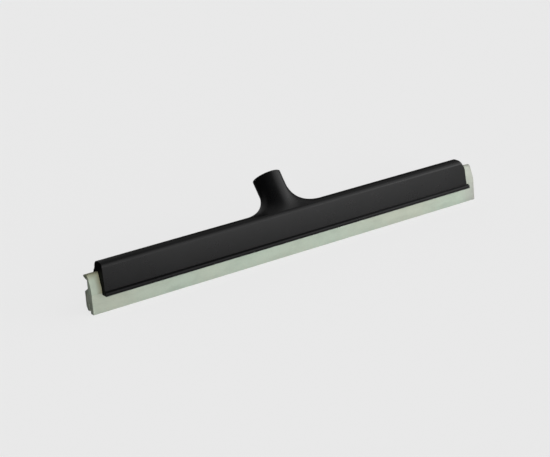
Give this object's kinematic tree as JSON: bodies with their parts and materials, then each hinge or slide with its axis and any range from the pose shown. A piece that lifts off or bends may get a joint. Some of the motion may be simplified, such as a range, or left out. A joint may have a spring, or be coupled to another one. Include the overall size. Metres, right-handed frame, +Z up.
{
  "type": "floor squeegee head",
  "caption": "Floor squeegee head with a moulded plastic frame, a leaning handle socket and a slide-in cassette of foam-rubber blades.",
  "frame": {"origin": "middle of the front blade's working edge, on the floor when the front blade is upright", "axes": "+X along the blade to the right seen from the front, +Y to the rear, where the handle leans, +Z up from the floor"},
  "size_m": [0.6, 0.0734, 0.1055],
  "materials": {
    "black_plastic": "fine moulded texture, semi-matte",
    "carrier_plastic": "smooth, semi-matte",
    "front_foam": "matte with a skin of fine pores",
    "rear_foam": "matte with a skin of fine pores"
  },
  "bodies": {
    "frame": {"frame": "black_plastic"},
    "cassette": {"cassette_carrier": "carrier_plastic", "front_blade": "front_foam", "rear_blade": "rear_foam"}
  },
  "joints": [
    {"name": "cassette_slide", "type": "slide", "parent": "frame", "child": "cassette", "axis": [1, 0, 0], "range_m": [-0.585, 0.585]}
  ]
}
